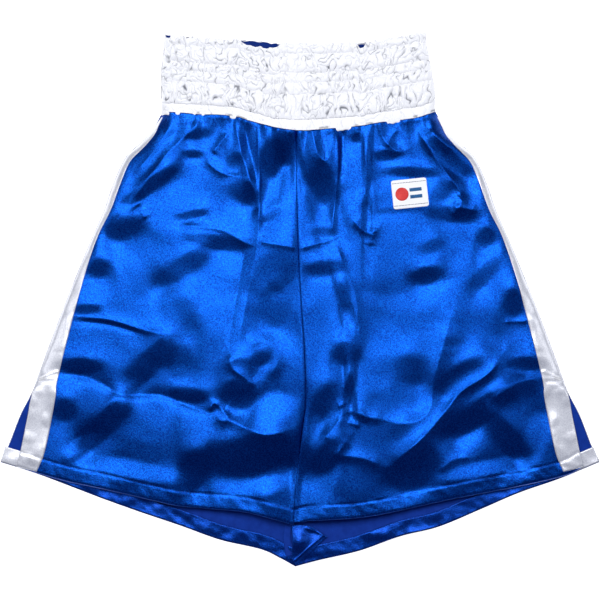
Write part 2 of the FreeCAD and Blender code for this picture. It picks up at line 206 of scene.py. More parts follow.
# ---- outline of the shorts ----
BAND_TOP_LINE = spline([
    (-150, 283), (-118, 279), (-79, 275.5), (-62, 275.6), (-50, 275.4), (-36, 274),
    (-21, 272.4), (0, 271), (35, 270.8), (69, 273), (110, 280), (134, 283), (150, 283),
], 200)
BAND_BOTTOM_LINE = spline([
    (-150, 195.5), (-130, 195.2), (-106, 193), (-85, 192.5), (-65, 190), (-53, 186),
    (-38, 182), (-26, 178.5), (0, 175.5), (29, 177.5), (62, 180.5), (85, 184.5), (110, 187.5),
    (127, 190.5), (141, 195.5), (150, 196.5),
], 200)


def band_y(share, x):
    """Where the waistband's line at that share of its height is, at x."""
    top = np.interp(x, BAND_TOP_LINE[:, 0], BAND_TOP_LINE[:, 1])
    return top + (np.interp(x, BAND_BOTTOM_LINE[:, 0], BAND_BOTTOM_LINE[:, 1]) - top) * share


def band_side(share, sign):
    """The waistband's end at that share of its height. The wearer's left end leans in towards the top."""
    if sign < 0:
        return -HALF_WAIST + 0.5 + 3.0 * smooth(0.5, 0.0, share)
    return HALF_WAIST - 4.0 - 9.5 * smooth(0.75, 0.0, share)


# The lines below are the wearer's right side's, and the left's are their mirror images, but for the
# hems, which differ. They run down from the waist, and the hems run in towards the middle.
SIDE = [
    (-HALF_WAIST, TOP_Y - BAND_HEIGHT + 1.5), (-158, 179), (-172, 164), (-186, 150),
    (-199, 121), (-208, 95), (-224, 58), (-250, -6), VENT_TOP,
]
VENT_FRONT = [VENT_TOP, (-288.5, -126), (-295.5, -160), FRONT_CORNER]
VENT_BACK = [VENT_TOP, (-296.5, -122), (-309, -154), BACK_CORNER]
SEAM = [
    (-4, 178), (-4, 150), (-2, 60), (1, 0), (4.5, -53), (6, CROTCH_Y),
    (1, -146), (-4, -195), (-7, -232),
]
FRONT_HEM = {
    "right": [
        FRONT_CORNER, (-253, -191), (-210, -200), (-159, -211.5), (-123, -219),
        (-62, -224), (-30, -231.5), (-7, -238),
    ],
    "left": [
        (300, -177), (279, -187), (220, -200), (159, -211.5), (80, -228),
        (30, -232.5), (8, -234), (-7, -236),
    ],
}
BACK_HEM = {
    "right": [
        BACK_CORNER, (-276, -185.5), (-212, -210), (-170, -225), (-127, -239.5),
        (-85, -254.5), (-42, -264.5), (-21, -274), (-5, BACK_LOWEST),
    ],
    "left": [
        (-BACK_CORNER[0], BACK_CORNER[1]), (276, -189.5), (233, -204.5), (191, -222.5),
        (148, -240.5), (106, -251), (64, -266), (21, -276), (-5, BACK_LOWEST),
    ],
}
STRIPE_FRONT = [
    (-145.5, 193.5), (-149.5, 185), (-154, 175), (-163, 164), (-178, 149), (-186, 134),
    (-200, 96), (-214, 68), (-227, 30), (-237, -6), (-256.5, -83), (-259, -104),
    (-270, -159), (-279, -182),
]
STRIPE_BACK = [
    (-116, 186), (-154, 146), (-178, 95), (-227, -6), (-256, -88), (-281, -160),
    (-291, -181),
]


def mirrored(points, side):
    """Points of the right side, on that side."""
    return points if side == "right" else [(-x, y) for x, y in points]


# ---- the folds of the front ----
# FOLDS: (points, height, width on the line's left, width on its right, sharpness). A fold is a
# ridge, or a crease where its height is below 0. Sharpness is from 0, round, to 1, a pinched edge.
FOLDS = [
    # pressed lines across and down the front, from being folded for storage
    ([(-126, 79), (-84, 74), (-58, 60), (-44, 57)], 1.1, 14, 4, 0.8),
    ([(-44, 62), (0, 54)], 1.2, 14, 4, 0.8),
    ([(0, 54), (35, 64)], 1.1, 10, 4, 0.8),
    ([(-44, 62), (-54, 15), (-66, -53)], 1.3, 6, 9, 0.6),
    ([(-57, 60), (-66, 10), (-76, -45)], -0.9, 4, 5, 0.5),
    ([(35, 64), (47, 35), (59, 3), (62, -32)], 1.2, 5, 9, 0.7),
    # gathers that hang from the waistband
    ([(-45, 190), (-43, 140), (-43, 100), (-44, 66)], 3.4, 5, 8, 0.85),
    ([(-70, 192), (-60, 150), (-45, 104)], 2.4, 6, 7, 0.8),
    ([(-60, 186), (-50, 148), (-45, 120)], -1.8, 4, 4, 0.5),
    ([(-101, 190), (-138, 156), (-183, 98)], 4.2, 17, 10, 0.5),
    ([(-134, 188), (-152, 160), (-178, 130)], 2.2, 7, 8, 0.5),
    ([(-76, 176), (-93, 154)], 2.0, 7, 6, 0.5),
    ([(-101, 150), (-92, 140), (-80, 133), (-61, 130)], 1.5, 8, 5, 0.8),
    ([(-173, 101), (-162, 85)], 1.4, 6, 6, 0.8),
    ([(39, 182), (40, 136), (35, 84), (36, 66)], 3.6, 5, 10, 0.85),
    ([(45, 184), (44, 150), (41, 120)], -2.4, 4, 4, 0.4),
    ([(67, 180), (70, 131), (66, 92)], 2.6, 10, 6, 0.6),
    ([(11, 184), (17, 159), (24, 146), (31, 150)], 1.6, 5, 6, 0.8),
    ([(84, 186), (88, 170), (101, 157), (112, 158)], 1.9, 7, 6, 0.7),
    ([(104, 182), (96, 172), (92, 160)], 1.5, 5, 5, 0.7),
    ([(122, 182), (144, 148), (167, 118), (172, 106)], 3.0, 10, 9, 0.75),
    ([(136, 180), (150, 166), (162, 158)], 1.6, 6, 6, 0.6),
    # hips
    ([(160, 88), (171, 103), (164, 111)], 1.8, 6, 6, 0.8),
    ([(160, 98), (188, 95)], 1.5, 8, 5, 0.7),
    ([(55, 86), (65, 74), (76, 71), (84, 77)], 2.0, 8, 5, 0.8),
    ([(76, 71), (74, 57)], 1.2, 5, 5, 0.8),
    # the wearer's right leg
    ([(-240, -17), (-202, -21), (-164, -32), (-138, -36)], 1.7, 7, 5, 0.7),
    ([(-236, -22), (-200, -26), (-166, -36)], -1.3, 3, 4, 0.6),
    ([(-256, -77), (-231, -81), (-209, -89), (-189, -100), (-164, -100), (-145, -101), (-125, -109),
      (-97, -118), (-86, -114)], -1.9, 8, 5, 0.75),
    ([(-97, -118), (-90, -108), (-80, -118), (-74, -127)], 2.2, 5, 6, 0.8),
    ([(-92, -116), (-83, -127), (-74, -127), (-56, -135), (-34, -142), (-8, -136)], 3.2, 12, 8, 0.6),
    ([(-75, -56), (-72, -71), (-58, -82), (-45, -93)], 2.2, 8, 8, 0.7),
    ([(-56, -52), (-42, -42), (-27, -50), (-24, -66), (-36, -84)], 1.6, 8, 8, 0.3),
    # the wearer's left leg
    ([(158, -20), (149, -55), (141, -85), (138, -112), (127, -126), (106, -130), (84, -125)],
     3.6, 16, 11, 0.55),
    ([(218, -52), (199, -77), (170, -97), (153, -118), (136, -138), (107, -165), (94, -176)],
     6.0, 13, 11, 0.75),
    ([(50, -146), (37, -166)], 1.4, 7, 5, 0.7),
    ([(36, -164), (66, -167), (86, -176)], 1.8, 8, 6, 0.6),
    ([(24, -148), (38, -132), (44, -121)], 1.5, 6, 6, 0.6),
    ([(44, -119), (56, -117), (64, -121), (86, -127)], 1.5, 7, 5, 0.6),
    ([(50, -128), (63, -133)], 1.1, 5, 4, 0.7),
    ([(60, -110), (66, -118), (72, -130)], 0.9, 4, 4, 0.5),
    ([(40, -113), (50, -107)], 0.9, 5, 4, 0.7),
    ([(200, -108), (228, -88), (256, -82)], 2.2, 9, 10, 0.5),
    ([(216, -23), (242, -22)], 1.2, 6, 5, 0.8),
    ([(146, -182), (164, -168), (182, -167)], 1.3, 7, 6, 0.5),
    ([(158, -50), (160, -12), (152, 22)], 1.0, 16, 14, 0.0),
]

# SHADES: (x, y, radius along, radius across, turn in degrees, slope). A soft patch of cloth that
# slopes down towards the hems, or up towards them where its slope is below 0.
SHADES = [
    # the wearer's right side
    (-161, 119, 31, 8, 42, 0.32), (-188, 77, 20, 17, 30, 0.34), (-114, 90, 15, 6, 18, 0.34),
    (-89, 61, 30, 9, -12, 0.3), (-125, 34, 31, 12, 40, 0.25), (-24, 33, 19, 25, 0, 0.23),
    (-27, -6, 18, 24, 0, 0.2), (-127, -18, 17, 26, 0, 0.17), (-126, -66, 14, 22, 0, 0.16),
    (-213, 34, 14, 12, 0, 0.28), (-225, -10, 13, 7, 0, 0.34), (-233, -70, 20, 10, 0, 0.36),
    (-161, -68, 34, 13, 55, 0.28), (-205, -130, 36, 12, 55, 0.34), (-250, -116, 12, 14, 0, 0.25),
    (-117, -100, 18, 9, -15, 0.34), (-60, -72, 15, 12, -25, 0.28), (-66, -101, 19, 19, -20, 0.36),
    (-48, -166, 54, 24, 4, 0.42), (-112, -180, 14, 24, 0, 0.3), (-115, 177, 18, 8, -5, 0.27),
    (-112, 154, 11, 5, -5, 0.26), (-68, 145, 8, 13, 0, 0.32), (-57, 113, 18, 13, -45, 0.34),
    (-30, 150, 13, 26, -8, 0.36), (-12, 160, 12, 20, 0, 0.28), (-30, 90, 12, 6, 50, 0.24),
    (-41, -61, 9, 9, 0, 0.26), (-172, -180, 50, 11, -12, -0.2), (-26, -189, 22, 14, 35, -0.26),
    (-233, -153, 20, 8, 40, -0.22), (-26, -112, 22, 16, 0, -0.16), (-145, 105, 30, 40, 60, -0.08),
    (-85, 5, 26, 50, 10, -0.08),
    # the wearer's left side
    (22, 126, 14, 31, 12, 0.32), (71, 130, 4, 34, 0, 0.12), (64, 171, 12, 6, 0, 0.25),
    (89, 152, 12, 7, 0, 0.3), (118, 135, 26, 7, -4, 0.33), (160, 150, 30, 11, -50, 0.38),
    (173, 121, 13, 7, -20, 0.24), (150, 116, 9, 13, 0, 0.2), (162, 91, 24, 10, -8, 0.26),
    (106, 95, 24, 4, 5, 0.12), (26, 72, 11, 7, -20, 0.25), (27, 34, 19, 10, 10, 0.24),
    (46, 2, 6, 20, 12, 0.2), (135, 26, 17, 11, 18, 0.3), (196, 28, 22, 8, 62, 0.16),
    (140, 57, 12, 8, 45, 0.15), (197, 66, 10, 13, 0, 0.26), (226, -3, 11, 18, 0, 0.28),
    (49, -56, 14, 15, 0, 0.3), (53, -93, 5, 22, 0, 0.3), (29, -108, 13, 24, -15, 0.22),
    (120, -72, 17, 20, 0, 0.17), (173, -81, 32, 15, 42, 0.32), (190, -119, 40, 13, 44, 0.38),
    (121, -178, 30, 22, 45, 0.3), (219, -146, 30, 12, -60, 0.3), (238, -68, 19, 9, 0, 0.32),
    (28, -166, 12, 24, -25, 0.32), (252, -143, 13, 26, 0, -0.18), (196, -178, 45, 9, 12, -0.2),
    (92, -60, 26, 40, 0, -0.07), (185, 20, 34, 40, 0, -0.06),
]
SHADE_STRENGTH = 0.75


def fold_height(x, y):
    """The folds and shaded patches of the lists, together."""
    z = np.zeros(np.shape(x))
    for points, height, left, right, sharp in FOLDS:
        reach = 3.2 * max(left, right)
        p = np.array(points, float)
        near = (
            (x > p[:, 0].min() - reach) & (x < p[:, 0].max() + reach)
            & (y > p[:, 1].min() - reach) & (y < p[:, 1].max() + reach)
        )
        if not near.any():
            continue
        count = max(8, int(steps(p).sum() / 5))
        share, d = from_line(spline(points, count), x[near], y[near])
        width = np.where(d > 0, left, right)
        r = np.abs(d) / width
        profile = (1 - sharp) * np.exp(-r * r) + sharp * np.exp(-1.5 * np.sqrt(r * r + 0.004))
        lip = 0.35 * max(sharp - 0.4, 0) * bell(d, 1.5)
        ends = smooth(0, 0.18, share) * smooth(1, 0.8, share)
        faded = (0.25 + 0.75 * ends) * np.exp(-np.maximum(r - 2.4, 0))
        z[near] += (height * profile + lip) * faded
    for cx, cy, along, across, turn, slope in SHADES:
        c, s = math.cos(math.radians(turn)), math.sin(math.radians(turn))
        a = ((x - cx) * c + (y - cy) * s) / along
        b = ((y - cy) * c - (x - cx) * s) / across
        r2 = a * a + b * b
        window = (1 + r2**4) ** (-1 / 4) * np.exp(-r2 / 9 - np.maximum(np.abs(a) - 0.9, 0) ** 2 / 0.35)
        z += SHADE_STRENGTH * slope * (y - cy) * window
    return z


def crumple(x, y):
    """The cloth's own unevenness: broad soft waves, with fainter and finer ones on them."""
    wx = x + 14 * noise(x / 60, y / 60, 1)
    wy = y + 14 * noise(x / 60, y / 60, 2)
    middle = 0.25 * noise(wx / 27, wy / 22, 4)
    return 0.75 * noise(wx / 62, wy / 48, 3) + middle + 0.03 * noise(wx / 11, wy / 9, 5)


# ---- surfaces ----
SIDE_EDGES = {side: spline(mirrored(SIDE, side), 60) for side in SIDES}
SEAM_LINE = spline(SEAM, 60)
HEM_LINE = spline(FRONT_HEM["right"] + FRONT_HEM["left"][-2::-1], 110)
SIDE_ROUND = 15.0  # how far in from the side seam the front is rounded down
SIDE_SEAM_Z = 2.0
BACK_Z = 1.8


def gathers(x, y):
    """Gathers along the waistband's lower edge, which fade out below it."""
    below = np.clip(band_y(1.0, np.clip(x, -HALF_WAIST, HALF_WAIST)) - y, 0, 400)
    spread = x * (1 - 0.0014 * np.clip(below, 0, 90)) + 2.5 * noise(x / 19, y / 23, 34)
    long = np.exp(-below / (26 + 16 * noise(x / 23, 0.5, 31))) * noise(spread / 13, below / 140, 33)
    short = np.exp(-below / (8 + 5 * noise(x / 9, 0.5, 35)))
    short = short * (np.abs(noise(spread / 10, below / 40, 32)) - 0.3)
    lip = np.exp(-below / 8.0) * (0.65 + 0.7 * noise(x / 11, 0.2, 36))
    return 2.4 * long + 0.8 * short + 2.7 * lip


def tent(x):
    """The front layer's height with no folds in it: the CAD's tent, with its ridge rounded off."""
    ridge = np.sqrt(np.asarray(x, float) ** 2 + 40.0**2) - 22.0
    return RIDGE_Z - 1.0 - TENT_SLOPE * ridge


def front_z(x, y):
    """Height of the front's outside face."""
    x, y = np.asarray(x, float), np.asarray(y, float)
    _, from_right = from_line(SIDE_EDGES["right"], x, y)
    _, from_left = from_line(SIDE_EDGES["left"], x, y)
    edge = np.minimum(from_right, -from_left)
    _, seam_d = from_line(SEAM_LINE, x, y)
    relief = fold_height(x, y) + crumple(x, y) + gathers(x, y)
    # the legs hang apart below the crotch, where the front dips to the inner leg seam
    legs = smooth(CROTCH_Y + 25, CROTCH_Y - 50, y)
    dip = legs * 5.5 * bell(seam_d, 20)
    groove = 0.55 * bell(seam_d, 1.4) - 0.3 * bell(seam_d, 6)
    inside = tent(x) + relief * smooth(0, 12, np.abs(seam_d) + 5) - dip - groove
    closed = smooth(VENT_TOP[1] - 22, VENT_TOP[1] + 12, y)
    rounded = SIDE_SEAM_Z + (inside - SIDE_SEAM_Z) * rolled(edge / SIDE_ROUND)
    z = inside + (rounded - inside) * closed
    # roped hems: a line of stitching with puckers, and the fold rolled under at the very edge
    along, up = from_line(HEM_LINE, x, y)
    up = np.abs(up)
    on_hem = smooth(HEM_DEPTH + 3, HEM_DEPTH - 2, up)
    run = along * 640.0
    pucker = 0.3 * noise(run / 8.5 + up / 14, up / 13, 41) + 0.85 * noise(run / 29, up / 30, 42)
    z = z + on_hem * (0.15 + 1.2 * pucker) - 0.45 * bell(up - HEM_DEPTH, 1.1)
    z = z - 1.6 * np.exp(-up / 0.9)
    # inside the side seams it stays clear of the back
    clear = np.maximum(back_z(x, y) + 0.8 - SIDE_SEAM_Z, 0) * smooth(0, 8, edge)
    return np.maximum(z, SIDE_SEAM_Z + clear)


def back_z(x, y):
    """Height of the back layer's inside face. It lies on the floor, with low waves."""
    wave = 0.5 * noise(np.asarray(x) / 45, np.asarray(y) / 38, 51) + 0.25 * noise(x / 17, y / 15, 52)
    return BACK_Z + np.maximum(wave + 0.2, -0.6)


# ---- meshes ----
def new_object(name, verts, faces, materials, slots=None):
    mesh = bpy.data.meshes.new(name)
    mesh.from_pydata((np.asarray(verts, float) * MM).tolist(), [], faces)
    for material in materials:
        mesh.materials.append(material)
    if slots is not None:
        mesh.polygons.foreach_set("material_index", np.asarray(slots, np.int32))
    mesh.shade_smooth()
    mesh.update()
    obj = bpy.data.objects.new(name, mesh)
    bpy.context.scene.collection.objects.link(obj)
    return obj


def grid_normals(p):
    """The direction out of each point of a grid, on its upper side."""
    n = np.cross(np.gradient(p, axis=1), np.gradient(p, axis=0))
    n /= np.linalg.norm(n, axis=2)[..., None] + 1e-12
    return n * (np.sign(n[..., 2].sum()) or 1.0)


def cloth(name, surface, materials, thickness=CLOTH_T):
    """A closed thin sheet under a grid of points. materials are for the face up and the face down."""
    p = np.asarray(surface, float)
    rows, cols = p.shape[:2]
    low = p - grid_normals(p) * thickness
    verts = np.vstack([p.reshape(-1, 3), low.reshape(-1, 3)])
    index = np.arange(rows * cols).reshape(rows, cols)
    a, b, c, d = index[:-1, :-1], index[:-1, 1:], index[1:, 1:], index[1:, :-1]
    top = np.stack([a, b, c, d], axis=-1).reshape(-1, 4)
    turned = np.cross(p[0, 1] - p[0, 0], p[1, 0] - p[0, 0])[2] < 0
    if turned:
        top = top[:, ::-1]
    bottom = top[:, ::-1] + rows * cols
    ring = np.concatenate([index[0, :-1], index[:-1, -1], index[-1, :0:-1], index[:0:-1, 0]])
    nxt = np.roll(ring, -1)
    rim = np.stack([ring, ring + rows * cols, nxt + rows * cols, nxt], axis=-1)
    if turned:
        rim = rim[:, ::-1]
    faces = np.vstack([top, bottom, rim])
    slots = np.zeros(len(faces))
    slots[len(top):len(top) + len(bottom)] = len(materials) - 1
    return new_object(name, verts, faces.tolist(), materials, slots)


def patch(top, bottom, left, right, cols, rows):
    """A grid of x, y that fills the space between four lines. top and bottom run left to right."""
    u, v = np.linspace(0, 1, cols)[None, :, None], np.linspace(0, 1, rows)[:, None, None]
    t, b = spline(top, cols)[None], spline(bottom, cols)[None]
    l, r = spline(left, rows)[:, None], spline(right, rows)[:, None]
    corners = (
        t[:, :1] * (1 - u) * (1 - v) + t[:, -1:] * u * (1 - v)
        + b[:, :1] * (1 - u) * v + b[:, -1:] * u * v
    )
    return (1 - v) * t + v * b + (1 - u) * l + u * r - corners


def lifted(xy, height):
    """A grid of x, y with a z from height(x, y)."""
    x, y = xy[..., 0], xy[..., 1]
    return np.stack([x, y, height(x, y)], axis=-1)


def band_line(share, x_from, x_to, offset, count):
    """Points along the waistband at that share of its height, shifted up by the offset."""
    xs = np.linspace(x_from, x_to, count)
    return [(x, float(band_y(share, x)) + offset) for x in xs]


def ribbon(name, line, width, height, material, step=1.2):
    """A seam's turned edges: a narrow sheet along a line in plan."""
    mid = spline(line, max(4, int(steps(line).sum() / step)))
    across = directions(mid)[1]
    offsets = np.linspace(-width / 2, width / 2, max(3, int(width / step) + 1))
    xy = mid[None] + across[None] * offsets[:, None, None]
    return cloth(name, lifted(xy, height), [material], SEAM_T)


def stitches(name, lines, height, material, pitch=2.6, length=1.7, radius=0.22, lift=0.1):
    """Rows of separate stitches: short capsules of thread that dip into the cloth at both ends."""
    verts, faces = [], []
    sides, rings = 5, 5
    for line in lines:
        mid = spline(line, max(2, int(steps(line).sum() / pitch)))
        along = directions(mid)[0]
        z = height(mid[:, 0], mid[:, 1]) + lift
        for (x, y), (dx, dy), level in zip(mid, along, z):
            first = len(verts)
            for i in range(rings):
                t = i / (rings - 1) * 2 - 1
                r = radius * math.sqrt(max(1 - 0.85 * t * t, 0.02))
                drop = 0.3 * t * t
                for k in range(sides):
                    angle = 2 * math.pi * k / sides
                    o = math.cos(angle) * r
                    px = x + dx * t * length / 2 - dy * o
                    py = y + dy * t * length / 2 + dx * o
                    verts.append((px, py, level - drop + math.sin(angle) * r))
            for i in range(rings - 1):
                for k in range(sides):
                    a = first + i * sides + k
                    b = first + i * sides + (k + 1) % sides
                    faces.append((a, b, b + sides, a + sides))
            faces.append(tuple(first + k for k in reversed(range(sides))))
            faces.append(tuple(first + (rings - 1) * sides + k for k in range(sides)))
    return new_object(name, verts, faces, [material])


# ---- materials ----
class Shader:
    """A Principled material, with small helpers for the nodes that feed it."""

    def __init__(self, name):
        self.material = bpy.data.materials.new(name)
        self.material.use_nodes = True
        self.nodes = self.material.node_tree.nodes
        self.links = self.material.node_tree.links
        self.surface = self.nodes["Principled BSDF"]
        self.place = self.nodes.new("ShaderNodeTexCoord").outputs["Object"]

    def feed(self, inputs, values):
        """Sets each named input, or links it where its value is another node's output."""
        for key, value in values.items():
            socket = inputs[key.replace("_", " ")]
            if hasattr(value, "is_output"):
                self.links.new(value, socket)
            else:
                socket.default_value = value

    def set(self, **values):
        self.feed(self.surface.inputs, values)

    def node(self, kind, **values):
        made = self.nodes.new("ShaderNode" + kind)
        self.feed(made.inputs, values)
        return made

    def noise(self, scale, detail, roughness, stretch=(1, 1, 1)):
        place = self.node("Mapping", Vector=self.place, Scale=stretch).outputs[0]
        made = self.node("TexNoise", Vector=place, Scale=scale, Detail=detail)
        made.inputs["Roughness"].default_value = roughness
        return made.outputs["Fac"]

    def ramp(self, factor, stops):
        made = self.node("ValToRGB", Fac=factor)
        elements = made.color_ramp.elements
        while len(elements) < len(stops):
            elements.new(0.5)
        for element, (position, color) in zip(elements, stops):
            element.position = position
            element.color = (*color, 1)
        return made.outputs["Color"]

    def between(self, factor, low, high):
        """factor, from 0 to 1, turned into a number from low to high."""
        made = self.node("MapRange", Value=factor, To_Min=low, To_Max=high)
        return made.outputs["Result"]

    def bump(self, **values):
        return self.node("Bump", **values).outputs["Normal"]


def satin(name, deep, bright, metal, rough, coat, grain=0.5, weave_mm=0.30, painted_shade_colour=None):
    """Satin's face: long floats of thread that shine, with a fine uneven grain.

    Where given, the last argument is the colour of painted shade, mixed into the creases by a point
    attribute."""
    s = Shader(name)
    s.set(Metallic=metal, Coat_Weight=coat, Coat_Roughness=0.28, Specular_IOR_Level=0.5)
    grain_noise = s.noise(760, 3.0, 0.75)
    slub = s.noise(1.0 / (weave_mm * MM * 3), 2.0, 0.6, stretch=(1, 0.12, 1))
    broad = s.noise(16, 3.0, 0.5)
    color = s.ramp(grain_noise, [(0.41, deep), (0.59, bright)])
    # painted shade: a dark grey mixed into the colour along the creases that a point attribute marks
    if painted_shade_colour:
        painted_crease_shade = s.node("Attribute")
        painted_crease_shade.attribute_name = "painted_crease_shade"
        mixed = s.node("MixRGB", Fac=painted_crease_shade.outputs["Fac"], Color1=color, Color2=(*painted_shade_colour, 1))
        color = mixed.outputs["Color"]
    fine = s.bump(Height=grain_noise, Strength=grain, Distance=0.0005)
    threads = s.bump(Height=slub, Strength=0.22, Distance=0.0002, Normal=fine)
    s.set(Base_Color=color, Roughness=s.between(broad, rough - 0.04, rough + 0.05), Normal=threads)
    return s.material


def matte(name, deep, bright, rough=0.75, scale=900, sheen=0.15):
    """Satin's dull back, lining, tape or label cloth, with a plain weave."""
    s = Shader(name)
    s.set(Sheen_Weight=sheen, Sheen_Roughness=0.5, Specular_IOR_Level=0.12)
    across = s.noise(scale, 2.0, 0.6, stretch=(1, 0.2, 1))
    down = s.noise(scale, 2.0, 0.6, stretch=(0.2, 1, 1))
    weave = s.node("Math", Value=across)
    s.links.new(down, weave.inputs[1])
    color = s.ramp(s.noise(140, 4.0, 0.6), [(0.3, deep), (0.7, bright)])
    bumps = s.bump(Height=weave.outputs[0], Strength=0.25, Distance=0.00025)
    s.set(Base_Color=color, Roughness=s.between(across, rough - 0.06, rough + 0.06), Normal=bumps)
    return s.material


BLUE = satin("blue_satin", (0.0002, 0.024, 0.21), (0.0018, 0.083, 0.46), 0.95, 0.30, 0.0)
BLUE_INSIDE = matte("blue_satin_inside", (0.002, 0.028, 0.25), (0.004, 0.040, 0.33), sheen=0.0)
BLUE_FOLDED = satin("blue_satin_folded_hem", (0.0006, 0.026, 0.22), (0.0026, 0.064, 0.43), 0.95, 0.33, 0.05)
LINING = matte("lining_cloth", (0.002, 0.018, 0.15), (0.004, 0.028, 0.21), sheen=0.0)
WHITE_TAPE = satin("stripe_satin", (0.66, 0.67, 0.72), (0.82, 0.83, 0.87), 0.50, 0.34, 0.05, 0.12)
WHITE_TAPE_BACK = matte("stripe_satin_back", (0.70, 0.70, 0.72), (0.80, 0.80, 0.82))
# white satin of the waistband, with painted shade in the creases of its gathers
WHITE_BAND = satin(
    "band_satin", (0.90, 0.90, 0.92), (0.97, 0.97, 0.98), 0.0, 0.42, 0.05, 0.08, painted_shade_colour=(0.17, 0.18, 0.21)
)
ELASTIC = matte("elastic", (0.72, 0.72, 0.70), (0.82, 0.82, 0.80), 0.85, 500)
WHITE_THREAD = matte("white_thread", (0.78, 0.78, 0.80), (0.90, 0.90, 0.90), 0.6, 1800)
BLUE_THREAD = matte("blue_thread", (0.006, 0.03, 0.28), (0.012, 0.055, 0.42), 0.5, 1800)
LABEL = matte("label_cloth", (0.95, 0.95, 0.96), (0.99, 0.99, 0.99), 0.65, 1200)
EMBLEM_BLUE = matte("emblem_blue", (0.02, 0.10, 0.26), (0.03, 0.15, 0.36), 0.6, 1200)
EMBLEM_RED = matte("emblem_red", (0.62, 0.03, 0.03), (0.80, 0.08, 0.07), 0.6, 1200)
DARK_THREAD = matte("label_thread", (0.05, 0.07, 0.12), (0.10, 0.12, 0.18), 0.6, 1800)

# ---- legs ----


BEND_BEFORE, BEND_AFTER = 0.001, 0.012  # metres from the hinge line to where the bend starts and ends


def fold_planes(side):
    """Where a vent corner's cloth starts and stops turning: across the hinge, in plan."""
    joint = FOLD[f"{side}_vent_fold"]
    place = Vector(joint["pos_m"])
    outwards = Vector((-1 if side == "right" else 1, 0, 0))
    axis = Vector(joint["axis"]).normalized()
    across = (outwards - axis * outwards.dot(axis)).normalized()
    across.z = 0
    across.normalize()
    return place - across * BEND_BEFORE, place + across * BEND_AFTER


def settle(piece, slot, *nodes):
    """Hides the CAD nodes that a piece stands for. It stays with the shorts. slot is not used."""
    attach(piece, "root")
    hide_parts(*nodes)


def settle_bent(piece, side, slot, *nodes):
    """Hides the CAD nodes that a piece reaching a vent's free corner stands for, and bakes its transform
    into its mesh. slot is not used.
    """
    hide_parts(*nodes)
    start, end = fold_planes(side)
    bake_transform(piece)


def above(surface, lift):
    """A height function, that far above another."""
    return lambda x, y: surface(x, y) + lift


def panel_grid(side, hem, vent, step):
    """The x, y grid of a leg panel, from the waist to that hem and from its side edge to the seam."""
    sign = -1 if side == "right" else 1
    top = band_line(1.0, band_side(1.0, sign), SEAM[0][0], 3.0, 15)
    edge = mirrored(SIDE, side) + mirrored(vent, side)[1:]
    edge[0] = top[0]
    seam = [top[-1]] + SEAM[1:-1] + [hem[-1]]
    return patch(top, hem, edge, seam, int(300 / step), int(400 / step))


def front_panel(side):
    grid = panel_grid(side, FRONT_HEM[side], VENT_FRONT, STEP)
    panel = cloth(f"{side}_front_panel", lifted(grid, front_z), [BLUE, BLUE_INSIDE])
    settle_bent(panel, side, "blue_satin", f"front_panel_{side}", f"front_vent_corner_{side}")


def back_panel(side):
    grid = panel_grid(side, BACK_HEM[side], VENT_BACK, 2 * STEP)
    panel = cloth(f"{side}_back_panel", lifted(grid, back_z), [BLUE_INSIDE, BLUE])
    settle(panel, "blue_satin", f"back_panel_{side}")


def stripe_grid(side, inner, vent, cols):
    """The x, y grid of a side stripe, from just outside the side edge to its own inner edge."""
    outer = [(x * 1.003, y) for x, y in mirrored(SIDE + vent[1:], side)]
    inside = mirrored(inner, side)
    return patch([outer[0], inside[0]], [outer[-1], inside[-1]], outer, inside, cols, 260)


def stripe_creases(x, y):
    """The tape's own shallow creases, with the pinch that the bar tack makes at the vent's top."""
    ax = np.abs(x)
    pinch, pull, cross = (
        from_line(spline(ends, 6), ax, y)[1]
        for ends in (
            [(-VENT_TOP[0] - 2, VENT_TOP[1] + 6), (258, -76)],
            [(-VENT_TOP[0] - 1, VENT_TOP[1] + 1), (262, -86)],
            [(276, -70), (255, -76)],
        )
    )
    z = 0.9 * bell(pinch, 1.6) - 0.8 * bell(pull, 1.8) + 0.8 * np.exp(-np.abs(cross) / 1.5)
    z = z + 1.9 * noise(ax / 24, y / 27, 61) + 0.45 * noise(ax / 9, y / 11, 62)
    return np.maximum(z, -0.1)


def stripe_z(x, y):
    """Height of a front stripe's outside face."""
    return front_z(x, y) + TAPE_LIFT + TAPE_RELIEF * stripe_creases(x, y)


def front_stripe(side):
    grid = stripe_grid(side, STRIPE_FRONT, VENT_FRONT, 16)
    stripe = cloth(f"{side}_front_stripe", lifted(grid, stripe_z), [WHITE_TAPE, WHITE_TAPE_BACK], TAPE_T)
    settle_bent(stripe, side, "stripe_satin", f"front_stripe_{side}", f"front_stripe_tail_{side}")


def back_stripe(side):
    """The tape's other half, under the back panel."""
    grid = stripe_grid(side, STRIPE_BACK, VENT_BACK, 14)[::2]
    under = above(back_z, -CLOTH_T - 0.15)
    stripe = cloth(f"{side}_back_stripe", lifted(grid, under), [WHITE_TAPE_BACK, WHITE_TAPE])
    settle(stripe, "stripe_satin", f"back_stripe_{side}")


HEM_POINTS = 240
HEM_CORNER = 0.075  # the share of a hem's length that its corner at the vent takes up


def hem_grid(line, depth, rows, span=(0.0, 1.0)):
    """A strip of x, y along part of a hem, that deep, starting at the hem's edge."""
    first, last = (int(share * (HEM_POINTS - 1)) for share in span)
    mid = spline(line, HEM_POINTS)[first:last + 1]
    up = directions(mid)[1]
    up *= np.sign(up[:, 1])[:, None]
    return mid[None] + up[None] * np.linspace(0.6, depth, rows)[:, None, None]


def front_hem(side):
    """The front's hem allowance, turned up inside below the panel."""
    grid = hem_grid(FRONT_HEM[side], HEM_DEPTH, 12)
    under = above(front_z, -2 * CLOTH_T - 0.1)
    hem = cloth(f"{side}_front_hem", lifted(grid, under), [BLUE_INSIDE, BLUE_FOLDED])
    settle_bent(hem, side, "blue_satin", f"front_hem_{side}", f"front_corner_hem_{side}")


